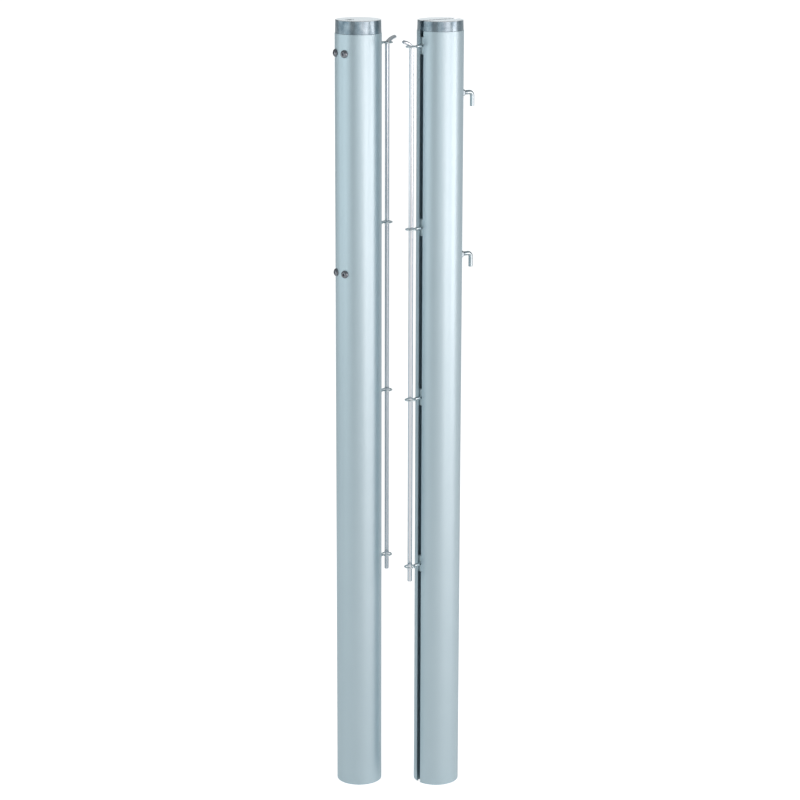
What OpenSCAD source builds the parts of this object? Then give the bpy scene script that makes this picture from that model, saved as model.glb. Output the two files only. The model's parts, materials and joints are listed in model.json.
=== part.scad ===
// A pair of round aluminium tennis net posts, standing side by side with their T-slots facing
// each other's way. The tension post, at -X, has its T-slot on its +X side, and the anchor
// post, at +X, on its -X side, so that X is the direction of the net.
// Millimetres, +Z up. The origin is on the ground, in the middle of the pair's footprint.
// Each post is drawn about its own axis with its net side along +X, then moved to its place.

/* [Posts] */
// Outer diameter of both tubes
post_d = 83; // [80:0.5:90]
// Height of both posts, with their caps
post_h = 1420; // [1300:5:1500]
// Wall of the tubes
wall_t = 3.5; // [3:0.25:4]
// Chamfer around both ends of the tubes
tube_chamfer = 0.5; // [0.3:0.1:1]
// Distance between the axes of the two posts
post_gap = 144; // [140:1:300]
// Angle between the net's direction and the line from post to post
pair_turn = 37; // [30:1:60]

/* [T-slot] */
// Width of the mouth of the T-slot
slot_w = 10; // [8.5:0.5:12]
// Thickness of the lips beside the mouth
lip_t = 3; // [2.5:0.25:3.5]
// Inner width of the channel behind the lips
channel_w = 17; // [15:0.5:19]
// Inner depth of the channel
channel_d = 10; // [9:0.5:11]
// Wall of the channel
channel_wall = 3; // [2:0.25:3.5]

/* [Caps] */
// Height of the tension cap's band, above its tube
tension_cap_h = 23.5; // [22:0.5:32]
// Height of the anchor cap's band, above its tube
anchor_cap_h = 18; // [17.5:0.5:26]
// Step from the tube's surface in to the foot of the band
cap_step = 0.7; // [0.3:0.1:1.5]
// How much the band tapers towards its top, on the radius
cap_taper = 0.5; // [0:0.1:1.5]
// Radius of the rounded rim
rim_r = 1; // [0.5:0.25:3]
// Depth of the plugs inside the tubes
plug_h = 22; // [16:1:26]
// Gap around the plug
plug_fit = 0.2; // [0.1:0.05:0.4]

/* [Rope groove] */
// Width of the rope groove over the anchor cap
groove_w = 8; // [6:0.5:9.5]
// Depth of the rope groove
groove_d = 6; // [5:0.5:7]
// Radius of the groove's floor where it turns down at the rim
groove_bend_r = 11; // [8:1:11]

/* [Rope hooks] */
// Diameter of the hook rod
hook_d = 8; // [7:0.5:9]
// Distance from the tube's surface to the axis of the hanging leg
hook_reach = 31; // [27:0.5:36]
// Drop from the axis of the shaft to the end of the leg
hook_drop = 25.5; // [22:0.5:40]
// Radius of the bend on the rod's axis
hook_bend_r = 7; // [6:0.5:9]
// Upper hook below the top of the post
upper_hook_drop = 132; // [95:1:165]
// Lower hook below the top of the post
lower_hook_drop = 423; // [300:1:450]
// Diameter of the rivet nut's sleeve
rivet_d = 11; // [10.5:0.5:13]
// Diameter of the rivet nut's flange
rivet_flange_d = 14; // [13.5:0.5:17]
// Thickness of the rivet nut's flange
rivet_flange_t = 1.5; // [1:0.25:2]
// Length of the rivet nut with its flange
rivet_len = 15; // [13:0.5:18]
// Thickness of the rivet nut's closed end
rivet_end = 2; // [1:0.25:3]
// Diameter of the washer
washer_d = 16; // [14:0.5:20]
// Thickness of the washer
washer_t = 2; // [1:0.1:2.5]
// Lock nut across its flats
lock_nut_af = 13; // [12:0.5:15]
// Height of the lock nut's hexagon
lock_nut_h = 6.5; // [5:0.5:8]
// Diameter of the collar that holds the lock nut's insert
lock_collar_d = 11.4; // [10:0.2:12.5]
// Height of the lock nut's collar
lock_collar_h = 3; // [1.5:0.25:3.5]

/* [Eyelets] */
// Lowest eyelet below the top of the post
eye_1_drop = 992; // [960:1:1100]
// Second eyelet below the top of the post
eye_2_drop = 677; // [640:1:720]
// Third eyelet below the top of the post
eye_3_drop = 366; // [330:1:400]
// Top eyelet below the top of the post
eye_4_drop = 44; // [42:1:80]
// Distance from the tube's surface to the centre of the ring
eye_reach = 22; // [19:0.5:30]
// Thickness of the ring's wire
eye_wire = 3.2; // [2.8:0.2:5]
// Inner diameter of the ring
eye_in = 14.5; // [13:0.5:16]
// Diameter of the shank
shank_d = 6; // [5:0.5:7]

/* [Sliders] */
// Height of a slider
slider_h = 31; // [24:1:40]
// Gap between a slider and each wall of the channel
slider_fit = 0.3; // [0.2:0.05:0.5]
// Depth of channel left free behind a slider
slider_back = 2; // [1:0.25:3]
// Bevel along a slider's edges
slider_bevel = 1; // [0.5:0.25:1.5]

/* [Net rods] */
// Diameter of the net rods
rod_d = 8.5; // [7.5:0.5:9.5]
// Length of rod below the lowest eyelet
rod_tail = 28; // [15:1:60]
// Radius of the first bend, in the ring
tip_bend_r = 9; // [8:0.5:12]
// Radius of the gentle bend of the grip
grip_bend_r = 30; // [20:1:40]
// Thickness of the pressed grip
grip_t = 6.5; // [5:0.25:7.5]
// Width of the pressed grip
grip_w = 9.5; // [8.5:0.25:11]
// Gap between the grip and the top ring that carries it
grip_rest = 0.6; // [0.3:0.05:0.9]

/* [Bearing blocks] */
// Height of a bearing block
block_h = 24; // [22:1:26]
// Width of a bearing block
block_w = 34; // [32:0.5:38]
// Distance between the two rows of screws
block_pitch = 391; // [300:1:450]
// Gap between a block and the tube's bore
block_fit = 0.2; // [0.1:0.05:0.4]
// Angle from the back of the post to each screw
screw_turn = 18; // [17:0.5:20]
// Thread diameter of the screws
screw_d = 8; // [6:1:8]
// Length of the screws under the head
screw_len = 12; // [10:0.5:12]
// Diameter of the dome heads
screw_head_d = 14; // [12:0.5:16]
// Height of the dome heads
screw_head_h = 4.4; // [3:0.2:5]
// Hexagon socket of the screws across its flats
screw_socket_af = 5; // [4:0.5:6]

/* [Spindle] */
// Distance from the tube's outer surface to the spindle's axis
spindle_in = 22.5; // [22:0.25:23.5]
// Outer diameter of the spindle's thread
spindle_d = 16; // [14:0.5:16.5]
// Diameter of the upper journal
upper_journal_d = 12; // [10:0.5:13]
// Diameter of the lower journal
lower_journal_d = 10; // [8:0.5:12]
// Wall of the bearing bushes
bush_wall = 2; // [1.5:0.25:2.5]
// Diameter of the thrust bearing and of the spindle's collar
collar_d = 20; // [18:0.5:22]
// Height of the spindle's collar
collar_h = 5; // [3:0.5:8]
// Height of the thrust bearing
thrust_h = 5; // [3:0.5:8]
// Height of the lower thrust washer
lower_washer_h = 3; // [2:0.5:5]
// Height of the lock nut under the lower block
end_nut_h = 8; // [6:0.5:10]
// Lock nut under the lower block, across its flats
end_nut_af = 17; // [16:0.5:19]
// Gap between the lower block and its lock nut
end_nut_gap = 0.3; // [0.1:0.05:0.5]
// Length of thread below the lock nut
spindle_tail = 1.7; // [1:0.1:6]
// Outer diameter of the crank socket
socket_d = 15.4; // [14.5:0.1:16]
// Hexagon of the crank socket across its flats
socket_af = 10; // [8:0.5:11]
// Depth of the hexagon
socket_deep = 16; // [10:1:20]
// Gap around the crank socket in the cap
socket_room = 0.3; // [0.2:0.05:0.5]
// Gap between the crank socket and the upper block
socket_lift = 0.5; // [0.3:0.1:1]
// Length of the spindle inside the crank socket
socket_grip = 20; // [16:1:22]
// Crank socket below the top of the cap
socket_sunk = 0.5; // [0.2:0.1:2]
// Diameter of the pin through the crank socket
socket_pin_d = 4; // [3:0.5:5]
// Depth of the pin's ends under the socket's surface
socket_pin_sunk = 0.5; // [0.3:0.1:1]

/* [Carriage] */
// Height of the carriage
carriage_h = 55; // [45:1:60]
// Gap above the carriage at the slack end of its travel
carriage_room = 5; // [5:1:15]
// Running gap between the carriage and the tube's bore
carriage_fit = 0.4; // [0.3:0.05:0.6]
// Outer diameter of the nut pressed into the carriage
nut_d = 20; // [19:0.5:21]
// Length of the nut inside the carriage
nut_len = 45; // [30:1:45]
// Diameter of the nut's flange
nut_flange_d = 24; // [22:0.5:24.5]
// Height of the nut's flange
nut_flange_h = 4; // [3:0.5:6]
// Wall of the carriage in front of the nut
nut_wall = 2.5; // [2:0.25:3]
// Thickness of the rope horn on the carriage
horn_t = 8; // [6:0.5:10]
// Top of the horn below the top of the carriage
horn_below = 8; // [2:1:15]
// Height of the horn, to the middle of its leg's round end
horn_h = 28; // [20:1:34]
// Free space for the rope between the carriage and the horn's leg
horn_gap = 7; // [6.5:0.5:8]

/* [Pulley] */
// Diameter of the rope that the pulley and the hooks are made for
rope_d = 5; // [4:0.5:5.5]
// Gap between the pulley's rim and the wall of the T-slot's channel
pulley_gap = 1.7; // [1:0.1:2.5]
// Width of the pulley
pulley_w = 12; // [10:0.5:14]
// Diameter of the pulley's axle
axle_d = 6; // [5:0.5:8]
// Wall of the pulley's bush
pulley_bush_wall = 1.5; // [1:0.25:2.5]
// Metal under the axle, above the top of the tube
axle_bed = 1.5; // [0.5:0.25:1.5]
// Depth of the axle's blind seat beside the pocket
axle_seat = 8; // [5:0.5:12]
// Depth of the axle's open end under the cap's surface
axle_sunk = 1; // [0.5:0.25:3]
// Gap around the pulley in its pocket
pulley_room = 1; // [0.5:0.25:1.25]

/* [Fits] */
// Radial gap of a shaft in its bearing
shaft_fit = 0.05; // [0.02:0.01:0.09]
// Radial gap of a bolt in a plain hole
bolt_fit = 0.2; // [0.1:0.05:0.4]

/* [Hidden] */
$fn = 96;
BACK = 180;
post_r = post_d / 2;
bore_r = post_r - wall_t;
cap_r = post_r - cap_step;
cap_top_r = cap_r - cap_taper;
tension_tube_top = post_h - tension_cap_h;
anchor_tube_top = post_h - anchor_cap_h;
groove_floor_z = post_h - groove_d;
// How far the groove's floor passes out of the band before it would be vertical
groove_runout = 0.5;
cut_more = 1;
// Chamfer at the sawn ends of the rods and hooks
end_chamfer = 0.8;

// The T-slot, measured out from the post's axis
mouth_u = sqrt(post_r * post_r - slot_w * slot_w / 4);
lip_u = mouth_u - lip_t;
channel_u = lip_u - channel_d;
back_u = channel_u - channel_wall;
channel_out_w = channel_w + 2 * channel_wall;
channel_corner_r = 2;

// The net rods and what carries them
rod_u = post_r + eye_reach;
ring_r = (eye_in + eye_wire) / 2;
// Length over which the shank narrows to the ring's wire
eye_neck = 4;
eye_top_z = post_h - eye_4_drop;
slider_t = channel_d - slider_fit - slider_back;
slider_w = channel_w - 2 * slider_fit;
slider_face_u = lip_u - slider_fit;

// The bend of a rod's top: angles from the vertical
tip_turn = 50;
grip_turn = 76;
grip_straight = 2.5;
tip_steps = 7;
grip_steps = 7;
tip_sides = 24;
// Height of the first bend's start, so that the grip clears the ring's outer edge by grip_rest
rim_gap = grip_t / 2 + eye_wire / 2 + grip_rest;
grip_centre = [
    rod_u + tip_bend_r - (tip_bend_r - grip_bend_r) * cos(tip_turn),
    (tip_bend_r - grip_bend_r) * sin(tip_turn)
];
rim_dx = rod_u + ring_r - grip_centre[0];
rim_dz = sqrt(pow(grip_bend_r - rim_gap, 2) - rim_dx * rim_dx);
bend_z = eye_top_z - rim_dz - grip_centre[1];

// The posts' places: the hooks reach further out than the screws, so the pair is shifted
hook_u = post_r + hook_reach;
screw_flat_r = screw_socket_af * 0.75;
screw_reach = (post_r + screw_head_h) * cos(screw_turn) + screw_flat_r * sin(screw_turn);
pair_shift = (hook_u + hook_d / 2 - screw_reach) / 2;
pair_step = post_gap / 2 * [cos(pair_turn), -sin(pair_turn)];
tension_place = -pair_step - [pair_shift, 0];
anchor_place = pair_step - [pair_shift, 0];
upper_hook_z = post_h - upper_hook_drop;
lower_hook_z = post_h - lower_hook_drop;
rivet_inner_u = post_r + rivet_flange_t - rivet_len;

// The tension mechanism, measured out from the post's axis
spindle_u = spindle_in - post_r;
front_u = spindle_u + nut_d / 2 + nut_wall;
rope_u = front_u + rope_d / 2 + 1;
pulley_rope_r = (back_u - pulley_gap - rope_d / 2 - rope_u) / 2;
pulley_u = rope_u + pulley_rope_r;
pulley_rim_r = pulley_rope_r + rope_d / 2;
axle_z = tension_tube_top + axle_d / 2 + axle_bed;
// How much the pulley's groove flares out on each side
groove_flare = 2;
pocket_w = pulley_w + 2 * pulley_room;
pocket_top = axle_z + pulley_rim_r + pulley_room;
axle_blind = pocket_w / 2 + axle_seat;
axle_out = sqrt(cap_top_r * cap_top_r - pulley_u * pulley_u) - axle_sunk;
plug_foot = tension_tube_top - plug_h;
upper_row_z = plug_foot - block_h / 2;
lower_row_z = upper_row_z - block_pitch;
thread_top = upper_row_z - block_h / 2 - thrust_h - collar_h;
thread_foot = lower_row_z + block_h / 2 + lower_washer_h;
end_nut_foot = lower_row_z - block_h / 2 - end_nut_gap - end_nut_h;
spindle_foot = end_nut_foot - spindle_tail;
socket_foot = upper_row_z + block_h / 2 + socket_lift;
journal_top = socket_foot + socket_grip;
socket_pin_z = socket_foot + socket_grip / 2;
carriage_top = thread_top - carriage_room - nut_flange_h;
carriage_foot = carriage_top - carriage_h;

module at_tension_post() {
    translate(tension_place) children();
}

module at_anchor_post() {
    translate(anchor_place) rotate(BACK) children();
}

// A rectangle from x0 to x1, centred on the X axis, with round corners of radius r at its x0 end
module round_backed(x0, x1, w, r) {
    translate([x0 + r, -w / 2]) square([x1 - x0 - r, w]);
    translate([x0, r - w / 2]) square([x1 - x0, w - 2 * r]);
    for (s = [-1, 1]) translate([x0 + r, s * (w / 2 - r)]) circle(r = r);
}

// The extruded section of both tubes
module post_section() {
    difference() {
        union() {
            difference() {
                circle(r = post_r);
                circle(r = bore_r);
            }
            intersection() {
                circle(r = post_r - wall_t / 2);
                round_backed(back_u, post_r, channel_out_w, channel_corner_r);
            }
        }
        round_backed(channel_u, lip_u, channel_w, channel_corner_r / 2);
        translate([channel_u + channel_d / 2, -slot_w / 2]) square([post_r, slot_w]);
    }
}

// What fits into the bore beside the channel
module plug_section(fit) {
    difference() {
        circle(r = bore_r - fit);
        translate([back_u - fit, -channel_out_w / 2 - fit])
            square([post_r, channel_out_w + 2 * fit]);
    }
}

// A tube from the ground up to tube_top
module tube(tube_top) {
    difference() {
        linear_extrude(tube_top) post_section();
        for (turn = [0, 180]) translate([0, 0, tube_top / 2]) rotate([turn, 0, 0])
            translate([0, 0, tube_top / 2]) rotate_extrude() polygon([
                [post_r + cut_more, cut_more], [post_r - tube_chamfer - cut_more, cut_more],
                [post_r + cut_more, -tube_chamfer - cut_more]
            ]);
    }
}

// A solid cap, its band of height cap_h above the tube and its plug inside it
module cap_blank(cap_h) {
    tube_top = post_h - cap_h;
    translate([0, 0, tube_top])
        rotate_extrude()
            polygon(concat(
                [[0, 0], [cap_r, 0]],
                [for (a = [0 : 15 : 90]) [
                    cap_top_r - rim_r + rim_r * cos(a),
                    cap_h - rim_r + rim_r * sin(a)
                ]],
                [[0, cap_h]]
            ));
    translate([0, 0, tube_top - plug_h]) linear_extrude(plug_h + cut_more) plug_section(plug_fit);
}

// A round bar along +X from x0 to x1
module bar_x(x0, x1, d) {
    translate([x0, 0, 0]) rotate([0, 90, 0]) cylinder(d = d, h = x1 - x0);
}

// The groove's bend over one rim, from level at bend_u to straight down
module groove_bend(bend_u) {
    rope_r = groove_w / 2;
    outer_r = groove_bend_r + rope_r;
    translate([bend_u, 0, groove_floor_z - groove_bend_r]) rotate([90, 0, 0]) {
        rotate_extrude(angle = 90) translate([outer_r, 0]) circle(r = rope_r);
        translate([0, 0, -rope_r]) linear_extrude(groove_w) difference() {
            square(post_r);
            circle(r = outer_r);
        }
    }
}

// The rope's way over the anchor cap: down to the T-slot on the net side,
// and out through the band on the hooks' side
module rope_groove() {
    rope_r = groove_w / 2;
    net_bend_u = cap_top_r - groove_d - groove_bend_r;
    hook_bend_u = cap_r - groove_bend_r + groove_runout;
    drop_h = anchor_cap_h - groove_d - groove_bend_r + cut_more;
    translate([0, 0, groove_floor_z + rope_r]) bar_x(-hook_bend_u, net_bend_u, groove_w);
    translate([-post_r, -rope_r, groove_floor_z + rope_r]) cube([post_d, groove_w, groove_d]);
    groove_bend(net_bend_u);
    rotate(BACK) groove_bend(hook_bend_u);
    translate([net_bend_u + groove_bend_r + rope_r, 0, anchor_tube_top - cut_more]) {
        cylinder(r = rope_r, h = drop_h);
        translate([0, -rope_r, 0]) cube([post_r, groove_w, drop_h]);
    }
}

module anchor_tube() {
    color("lightsteelblue") at_anchor_post() difference() {
        tube(anchor_tube_top);
        for (z = [upper_hook_z, lower_hook_z])
            translate([0, 0, z]) bar_x(-post_d, 0, rivet_d + 2 * shaft_fit);
    }
}

module anchor_cap() {
    color("silver") at_anchor_post() difference() {
        cap_blank(anchor_cap_h);
        rope_groove();
    }
}

module at_hooks() {
    for (z = [upper_hook_z, lower_hook_z]) translate([0, 0, z]) rotate(BACK) children();
}

module hook_rivet_nuts() {
    color("gainsboro") at_anchor_post() at_hooks() difference() {
        union() {
            bar_x(rivet_inner_u, post_r + rivet_flange_t, rivet_d);
            bar_x(post_r, post_r + rivet_flange_t, rivet_flange_d);
        }
        bar_x(rivet_inner_u + rivet_end, post_d, hook_d + 2 * shaft_fit);
    }
}

module hook_washers() {
    color("gainsboro") at_anchor_post() at_hooks() difference() {
        bar_x(post_r + rivet_flange_t, post_r + rivet_flange_t + washer_t, washer_d);
        bar_x(0, post_d, hook_d + 2 * bolt_fit);
    }
}

module hook_lock_nuts() {
    nut_u = post_r + rivet_flange_t + washer_t;
    collar_u = nut_u + lock_nut_h;
    color("gainsboro") at_anchor_post() at_hooks() difference() {
        union() {
            intersection() {
                translate([nut_u, 0, 0]) rotate([0, 90, 0])
                    cylinder(d = lock_nut_af / cos(30), h = lock_nut_h, $fn = 6);
                translate([nut_u, 0, 0]) rotate([0, 90, 0])
                    cylinder(r1 = lock_nut_af / 2 + lock_nut_h / tan(30), r2 = lock_nut_af / 2, h = lock_nut_h);
            }
            bar_x(collar_u - cut_more, collar_u + lock_collar_h - end_chamfer, lock_collar_d);
            translate([collar_u + lock_collar_h - end_chamfer, 0, 0]) rotate([0, 90, 0])
                cylinder(d1 = lock_collar_d, d2 = lock_collar_d - 2 * end_chamfer, h = end_chamfer);
        }
        bar_x(0, post_d, hook_d + 2 * shaft_fit);
    }
}

// One L-shaped hook about its shaft, whose leg hangs down
module rope_hook() {
    leg_h = hook_drop - hook_bend_r;
    bar_x(rivet_inner_u + rivet_end + bolt_fit, hook_u - hook_bend_r, hook_d);
    translate([hook_u - hook_bend_r, 0, -hook_bend_r])
        rotate([90, 0, 0])
            rotate_extrude(angle = 90) translate([hook_bend_r, 0]) circle(d = hook_d);
    translate([hook_u, 0, -hook_bend_r - leg_h]) {
        cylinder(d1 = hook_d - 2 * end_chamfer, d2 = hook_d, h = end_chamfer);
        translate([0, 0, end_chamfer]) cylinder(d = hook_d, h = leg_h - end_chamfer);
    }
}

module upper_rope_hook() {
    color("silver") at_anchor_post() translate([0, 0, upper_hook_z]) rotate(BACK) rope_hook();
}

module lower_rope_hook() {
    color("silver") at_anchor_post() translate([0, 0, lower_hook_z]) rotate(BACK) rope_hook();
}

function eye_z(i) = post_h - [eye_1_drop, eye_2_drop, eye_3_drop, eye_4_drop][i - 1];

// A T-nut that runs in the channel behind the lips, with its thread across it
module slider(i) {
    face = slider_face_u;
    back = slider_face_u - slider_t;
    edge = slider_h / 2;
    flat = edge - slider_bevel;
    translate([0, 0, eye_z(i)]) difference() {
        rotate([90, 0, 0]) translate([0, 0, -slider_w / 2]) linear_extrude(slider_w) polygon([
            [back, -flat], [back + slider_bevel, -edge], [face - slider_bevel, -edge], [face, -flat],
            [face, flat], [face - slider_bevel, edge], [back + slider_bevel, edge], [back, flat]
        ]);
        bar_x(0, post_r, shank_d + 2 * shaft_fit);
    }
}

// A ring lying level on the end of its shank, for the net rod
module eyelet(i) {
    ring_near_u = rod_u - ring_r;
    translate([0, 0, eye_z(i)]) {
        translate([rod_u, 0, 0]) rotate_extrude() translate([ring_r, 0]) circle(d = eye_wire);
        difference() {
            union() {
                bar_x(slider_face_u - slider_t, ring_near_u - eye_neck, shank_d);
                translate([ring_near_u - eye_neck, 0, 0]) rotate([0, 90, 0])
                    cylinder(d1 = shank_d, d2 = eye_wire, h = eye_neck);
            }
            translate([rod_u, 0, -shank_d]) cylinder(r = ring_r, h = 2 * shank_d);
        }
    }
}

// Centre of the rod's top bend at an angle from the vertical, as [out, up]
function bend_point(a) = a <= tip_turn
    ? [rod_u + tip_bend_r * (1 - cos(a)), bend_z + tip_bend_r * sin(a)]
    : [grip_centre[0] - grip_bend_r * cos(a), bend_z + grip_centre[1] + grip_bend_r * sin(a)];

// How far the round rod has been pressed into the flat grip at an angle, from 0 to 1
function pressed(a) = min(1, a / tip_turn);

// One cross-section of the bent top, square to the rod at that angle
function bend_ring(a, on) = [
    for (k = [0 : tip_sides - 1])
        let (
            t = 360 * k / tip_sides,
            c = bend_point(a) + on * [sin(a), cos(a)],
            deep = (rod_d + (grip_t - rod_d) * pressed(a)) / 2 * cos(t),
            wide = (rod_d + (grip_w - rod_d) * pressed(a)) / 2 * sin(t)
        )
        [c[0] + deep * cos(a), wide, c[1] - deep * sin(a)]
];

bend_angles = concat(
    [for (i = [0 : tip_steps]) tip_turn * i / tip_steps],
    [for (i = [1 : grip_steps]) tip_turn + (grip_turn - tip_turn) * i / grip_steps]
);

// The bent and pressed top of a net rod, swept on from the straight rod's end
module rod_tip() {
    rings = concat(
        [for (a = bend_angles) bend_ring(a, 0)],
        [bend_ring(grip_turn, grip_straight)]
    );
    n = tip_sides;
    last = len(rings) - 1;
    points = [for (r = rings) each r];
    sides = [
        for (j = [0 : last - 1], k = [0 : n - 1])
            let (a = j * n + k, b = j * n + (k + 1) % n)
            each [[a, a + n, b], [b, a + n, b + n]]
    ];
    foot = [for (k = [0 : n - 1]) k];
    top = [for (k = [n - 1 : -1 : 0]) last * n + k];
    polyhedron(points, concat(sides, [foot, top]));
}

// The straight length of a net rod
module net_rod() {
    rod_foot = eye_z(1) - rod_tail;
    translate([rod_u, 0, rod_foot]) {
        cylinder(d1 = rod_d - 2 * end_chamfer, d2 = rod_d, h = end_chamfer);
        translate([0, 0, end_chamfer]) cylinder(d = rod_d, h = bend_z - rod_foot - end_chamfer);
    }
}

module anchor_rod() {
    color("gainsboro") at_anchor_post() net_rod();
}

module tension_rod() {
    color("gainsboro") at_tension_post() net_rod();
}

module anchor_rod_tip() {
    color("gainsboro") at_anchor_post() rod_tip();
}

module tension_rod_tip() {
    color("gainsboro") at_tension_post() rod_tip();
}

module anchor_slider(i) {
    color("lightgray") at_anchor_post() slider(i);
}

module anchor_eyelet(i) {
    color("silver") at_anchor_post() eyelet(i);
}

module tension_slider(i) {
    color("lightgray") at_tension_post() slider(i);
}

module tension_eyelet(i) {
    color("silver") at_tension_post() eyelet(i);
}

// Places a child, drawn along +X from the post's axis, at each of the block screws
module at_block_screws() {
    for (z = [upper_row_z, lower_row_z], side = [-1, 1])
        translate([0, 0, z]) rotate(BACK + side * screw_turn) children();
}

module tension_tube() {
    color("lightsteelblue") at_tension_post() difference() {
        tube(tension_tube_top);
        at_block_screws() bar_x(0, post_d, screw_d + 2 * bolt_fit);
    }
}

module tension_cap() {
    color("silver") at_tension_post() difference() {
        cap_blank(tension_cap_h);
        translate([pulley_u - pulley_rim_r - pulley_room, -pocket_w / 2, plug_foot - cut_more])
            cube([post_d, pocket_w, pocket_top - plug_foot + cut_more]);
        translate([spindle_u, 0, plug_foot - cut_more])
            cylinder(d = socket_d + 2 * socket_room, h = tension_cap_h + plug_h + 2 * cut_more);
        translate([pulley_u, -axle_blind, axle_z]) rotate([-90, 0, 0])
            cylinder(d = axle_d, h = axle_blind + post_d);
    }
}

module pulley_axle() {
    color("dimgray") at_tension_post()
        translate([pulley_u, -axle_blind, axle_z]) rotate([-90, 0, 0])
            cylinder(d = axle_d, h = axle_blind + axle_out);
}

module pulley_bush() {
    bush_r = axle_d / 2 + shaft_fit;
    color("peru") at_tension_post()
        translate([pulley_u, 0, axle_z]) rotate([90, 0, 0])
            rotate_extrude() translate([bush_r, -pulley_w / 2]) square([pulley_bush_wall, pulley_w]);
}

module pulley() {
    hub_r = axle_d / 2 + shaft_fit + pulley_bush_wall;
    floor_r = pulley_rope_r - rope_d / 2;
    color("dimgray") at_tension_post()
        translate([pulley_u, 0, axle_z]) rotate([90, 0, 0])
            rotate_extrude() difference() {
                translate([hub_r, -pulley_w / 2]) square([pulley_rim_r - hub_r, pulley_w]);
                translate([pulley_rope_r, 0]) circle(d = rope_d);
                translate([pulley_rope_r, 0]) polygon([
                    [0, -rope_d / 2], [rope_d, -rope_d / 2 - groove_flare],
                    [rope_d, rope_d / 2 + groove_flare], [0, rope_d / 2]
                ]);
            }
}

// The section of the bearing blocks and the carriage: the bore's curve behind, flat in front
module block_section(fit) {
    intersection() {
        circle(r = bore_r - fit);
        translate([-post_r, -block_w / 2]) square([post_r + front_u, block_w]);
    }
}

module bearing_block(row_z, journal_d) {
    difference() {
        translate([0, 0, row_z - block_h / 2]) linear_extrude(block_h) block_section(block_fit);
        translate([spindle_u, 0, row_z - block_h])
            cylinder(d = journal_d + 2 * shaft_fit + 2 * bush_wall, h = 2 * block_h);
        for (side = [-1, 1])
            translate([0, 0, row_z]) rotate(BACK + side * screw_turn)
                bar_x(post_r - screw_len - bolt_fit, post_d, screw_d + 2 * shaft_fit);
    }
}

module bush(row_z, journal_d) {
    translate([spindle_u, 0, row_z - block_h / 2])
        rotate_extrude() translate([journal_d / 2 + shaft_fit, 0]) square([bush_wall, block_h]);
}

module upper_bearing_block() {
    color("slategray") at_tension_post() bearing_block(upper_row_z, upper_journal_d);
}

module lower_bearing_block() {
    color("slategray") at_tension_post() bearing_block(lower_row_z, lower_journal_d);
}

module upper_bush() {
    color("peru") at_tension_post() bush(upper_row_z, upper_journal_d);
}

module lower_bush() {
    color("peru") at_tension_post() bush(lower_row_z, lower_journal_d);
}

// A flat ring about the spindle's axis
module spindle_ring(foot_z, h, hole_d, d) {
    translate([spindle_u, 0, foot_z]) rotate_extrude()
        translate([hole_d / 2 + shaft_fit, 0]) square([(d - hole_d) / 2 - shaft_fit, h]);
}

module thrust_bearing() {
    color("silver") at_tension_post()
        spindle_ring(thread_top + collar_h, thrust_h, upper_journal_d, collar_d);
}

module lower_thrust_washer() {
    color("silver") at_tension_post()
        spindle_ring(thread_foot - lower_washer_h, lower_washer_h, lower_journal_d, collar_d);
}

module spindle() {
    color("lightslategray") at_tension_post() translate([spindle_u, 0, 0]) difference() {
        union() {
            translate([0, 0, spindle_foot]) cylinder(d = lower_journal_d, h = thread_foot - spindle_foot);
            translate([0, 0, thread_foot]) cylinder(d = spindle_d, h = thread_top - thread_foot);
            translate([0, 0, thread_top]) cylinder(d = collar_d, h = collar_h);
            translate([0, 0, thread_top]) cylinder(d = upper_journal_d, h = journal_top - thread_top);
        }
        translate([0, -socket_d, socket_pin_z]) rotate([-90, 0, 0])
            cylinder(d = socket_pin_d + 2 * shaft_fit, h = 2 * socket_d);
    }
}

module crank_socket() {
    socket_top = post_h - socket_sunk;
    color("silver") at_tension_post() translate([spindle_u, 0, 0]) difference() {
        translate([0, 0, socket_foot]) cylinder(d = socket_d, h = socket_top - socket_foot);
        translate([0, 0, socket_foot - cut_more])
            cylinder(d = upper_journal_d + 2 * shaft_fit, h = journal_top + shaft_fit - socket_foot + cut_more);
        translate([0, 0, socket_top - socket_deep])
            cylinder(d = socket_af / cos(30), h = socket_deep + cut_more, $fn = 6);
        translate([0, -socket_d, socket_pin_z]) rotate([-90, 0, 0])
            cylinder(d = socket_pin_d + 2 * shaft_fit, h = 2 * socket_d);
    }
}

module socket_pin() {
    color("dimgray") at_tension_post() translate([spindle_u, 0, socket_pin_z])
        rotate([-90, 0, 0]) translate([0, 0, socket_pin_sunk - socket_d / 2])
            cylinder(d = socket_pin_d, h = socket_d - 2 * socket_pin_sunk);
}

module spindle_lock_nut() {
    color("gainsboro") at_tension_post() translate([spindle_u, 0, end_nut_foot]) difference() {
        cylinder(d = end_nut_af / cos(30), h = end_nut_h, $fn = 6);
        translate([0, 0, -cut_more])
            cylinder(d = lower_journal_d + 2 * shaft_fit, h = end_nut_h + 2 * cut_more);
    }
}

// The horn that the rope's loop goes under: its leg points down, seen from the side
module horn_outline() {
    leg_w = horn_t;
    leg_u = front_u + horn_gap;
    horn_top = carriage_top - horn_below;
    leg_foot = horn_top - horn_h;
    translate([front_u - cut_more, horn_top - horn_t]) square([cut_more + horn_gap + leg_w / 2, horn_t]);
    translate([leg_u + leg_w / 2, horn_top - leg_w / 2]) circle(d = leg_w);
    translate([leg_u, leg_foot]) square([leg_w, horn_top - leg_w / 2 - leg_foot]);
    translate([leg_u + leg_w / 2, leg_foot]) circle(d = leg_w);
}

module tension_carriage() {
    color("slategray") at_tension_post() {
        difference() {
            translate([0, 0, carriage_foot]) linear_extrude(carriage_h) block_section(carriage_fit);
            translate([spindle_u, 0, carriage_foot - cut_more])
                cylinder(d = nut_d + 2 * shaft_fit, h = carriage_h + 2 * cut_more);
        }
        rotate([90, 0, 0]) translate([0, 0, -horn_t / 2]) linear_extrude(horn_t) horn_outline();
    }
}

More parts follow.
